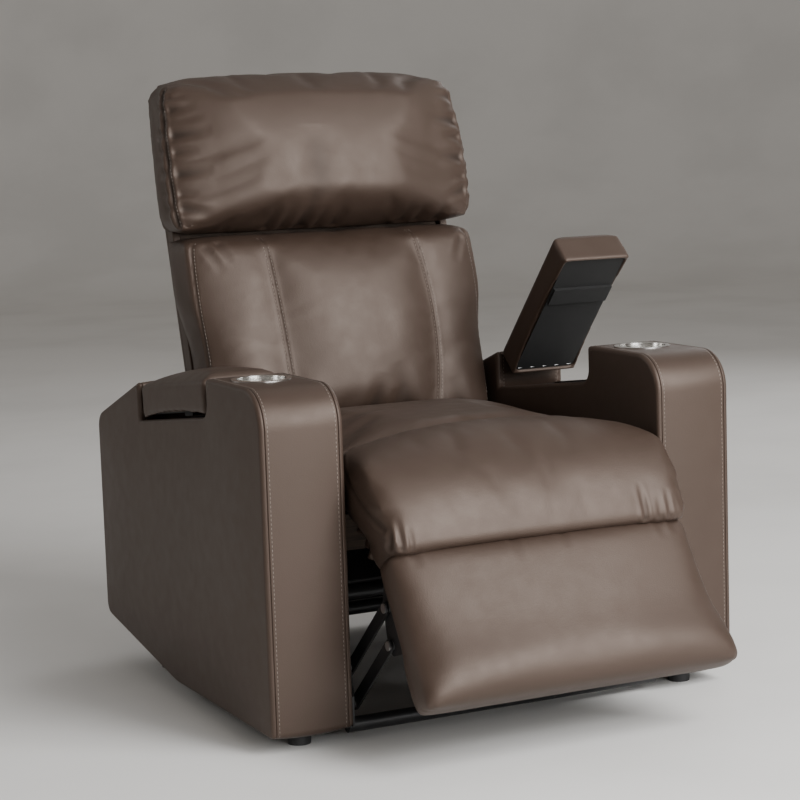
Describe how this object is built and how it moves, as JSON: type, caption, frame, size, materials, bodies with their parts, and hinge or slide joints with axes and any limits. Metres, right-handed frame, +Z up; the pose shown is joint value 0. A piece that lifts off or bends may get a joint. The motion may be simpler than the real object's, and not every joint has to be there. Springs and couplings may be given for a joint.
{
  "type": "power recliner armchair",
  "caption": "Padded power recliner in a dark brown leather-look cover, with a swinging footrest, a reclining back, and arms with cup holders and lidded storage.",
  "frame": {"origin": "middle of the footprint box at floor level, in the pictured pose", "axes": "+X to the sitter's left, +Y from the footrest to the back, +Z up"},
  "size_m": [0.88, 1.1314, 1.1009],
  "materials": {
    "brown_leather": "satin, lightly creased",
    "black_fabric": "matt non-woven",
    "plywood": "raw",
    "black_steel": "semi-matt black",
    "zinc_steel": "bright zinc",
    "stainless": "polished",
    "black_plastic": "moulded, matt"
  },
  "bodies": {
    "chair_base": {"left_outer_panel": "brown_leather", "left_inner_panel": "brown_leather", "left_arm_band": "brown_leather", "left_arm_frame": "plywood", "left_storage_bin": "black_fabric", "left_cup_holder": "stainless", "right_outer_panel": "brown_leather", "right_inner_panel": "brown_leather", "right_arm_band": "brown_leather", "right_arm_frame": "plywood", "right_storage_bin": "black_fabric", "right_cup_holder": "stainless", "feet": "black_plastic", "seat_channels": "black_steel", "front_base_tube": "black_steel", "rear_base_tube": "black_steel", "control_panel": "black_plastic", "power_inlet": "black_plastic", "lid_hinge_plates": "zinc_steel", "lid_hinge_pins": "zinc_steel"},
    "seat": {"seat_plates": "black_steel", "seat_runners": "black_plastic", "seat_tube": "black_steel", "seat_frame": "plywood", "seat_spacers": "plywood", "seat_webbing": "black_fabric", "seat_cushion": "brown_leather", "chaise_pad": "brown_leather", "seat_pivot_pins": "zinc_steel", "drive_rail": "zinc_steel", "drive_screw": "zinc_steel", "drive_motor": "black_plastic", "motor_clamp": "black_steel"},
    "back": {"back_board": "plywood", "back_cover": "brown_leather", "back_brackets": "black_steel", "lumbar_cushion": "brown_leather", "head_cushion": "brown_leather"},
    "footrest": {"footrest_pad": "brown_leather", "footrest_board": "plywood", "footrest_brackets": "black_steel", "footrest_pins": "zinc_steel"},
    "front_rocker_pair": {"front_rockers": "black_steel", "front_rocker_pins": "zinc_steel", "drive_tube": "black_steel"},
    "rear_rocker_pair": {"rear_rockers": "black_steel", "rear_rocker_pins": "zinc_steel"},
    "upper_coupler_pair": {"upper_couplers": "black_steel"},
    "lower_coupler_pair": {"lower_couplers": "black_steel"},
    "carriage": {"drive_carriage": "black_steel"},
    "left_lid": {"left_lid_pad": "brown_leather", "left_lid_board": "plywood", "left_lid_lining": "black_fabric", "left_lid_leaf": "zinc_steel"},
    "right_lid": {"right_lid_pad": "brown_leather", "right_lid_board": "plywood", "right_lid_lining": "black_fabric", "right_lid_leaf": "zinc_steel"},
    "open_button": {"open_button": "black_plastic"},
    "close_button": {"close_button": "black_plastic"}
  },
  "joints": [
    {"name": "seat_glide", "type": "slide", "parent": "chair_base", "child": "seat", "axis": [0, -1, 0], "range_m": [0, 0.06]},
    {"name": "back_recline", "type": "hinge", "parent": "seat", "child": "back", "pos_m": [0, 0.275, 0.345], "axis": [-1, 0, 0], "range_deg": [0, 38.02]},
    {"name": "footrest_swing", "type": "hinge", "parent": "seat", "child": "footrest", "pos_m": [0, -0.345, 0.465], "axis": [-1, 0, 0], "range_deg": [-33, 52], "deforming": ["chaise_pad"]},
    {"name": "front_rocker_swing", "type": "hinge", "parent": "seat", "child": "front_rocker_pair", "pos_m": [0, -0.205, 0.34], "axis": [-1, 0, 0], "range_deg": [-33.1, 52.1]},
    {"name": "rear_rocker_swing", "type": "hinge", "parent": "seat", "child": "rear_rocker_pair", "pos_m": [0, -0.135, 0.2775], "axis": [-1, 0, 0], "range_deg": [-33.1, 52.1]},
    {"name": "upper_coupler_turn", "type": "hinge", "parent": "front_rocker_pair", "child": "upper_coupler_pair", "pos_m": [0, -0.2498, 0.111], "axis": [-1, 0, 0], "range_deg": [-52.1, 33.1]},
    {"name": "lower_coupler_turn", "type": "hinge", "parent": "front_rocker_pair", "child": "lower_coupler_pair", "pos_m": [0, -0.26122, 0.0526], "axis": [-1, 0, 0], "range_deg": [-52.1, 33.1]},
    {"name": "carriage_travel", "type": "slide", "parent": "seat", "child": "carriage", "axis": [0, -0.9362, 0.3513], "range_m": [-0.0592, 0.0932]},
    {"name": "left_lid_lift", "type": "hinge", "parent": "chair_base", "child": "left_lid", "pos_m": [0, 0.251, 0.549], "axis": [-1, 0, 0], "range_deg": [-40, 25]},
    {"name": "right_lid_lift", "type": "hinge", "parent": "chair_base", "child": "right_lid", "pos_m": [0, 0.251, 0.549], "axis": [-1, 0, 0], "range_deg": [0, 65]},
    {"name": "open_button_press", "type": "slide", "parent": "chair_base", "child": "open_button", "axis": [-1, 0, 0], "range_m": [0, 0.0015], "stiffness_N_per_m": 900, "springref_m": -0.0005},
    {"name": "close_button_press", "type": "slide", "parent": "chair_base", "child": "close_button", "axis": [-1, 0, 0], "range_m": [0, 0.0015], "stiffness_N_per_m": 900, "springref_m": -0.0005}
  ],
  "couplings": [
    {"joint": "back_recline", "follows": "seat_glide", "rad_per_m": 11.054},
    {"joint": "front_rocker_swing", "follows": "footrest_swing", "ratio": 1},
    {"joint": "rear_rocker_swing", "follows": "footrest_swing", "ratio": 1},
    {"joint": "upper_coupler_turn", "follows": "footrest_swing", "ratio": -1},
    {"joint": "lower_coupler_turn", "follows": "footrest_swing", "ratio": -1},
    {"joint": "carriage_travel", "follows": "footrest_swing", "m_per_rad": 0.1023}
  ]
}
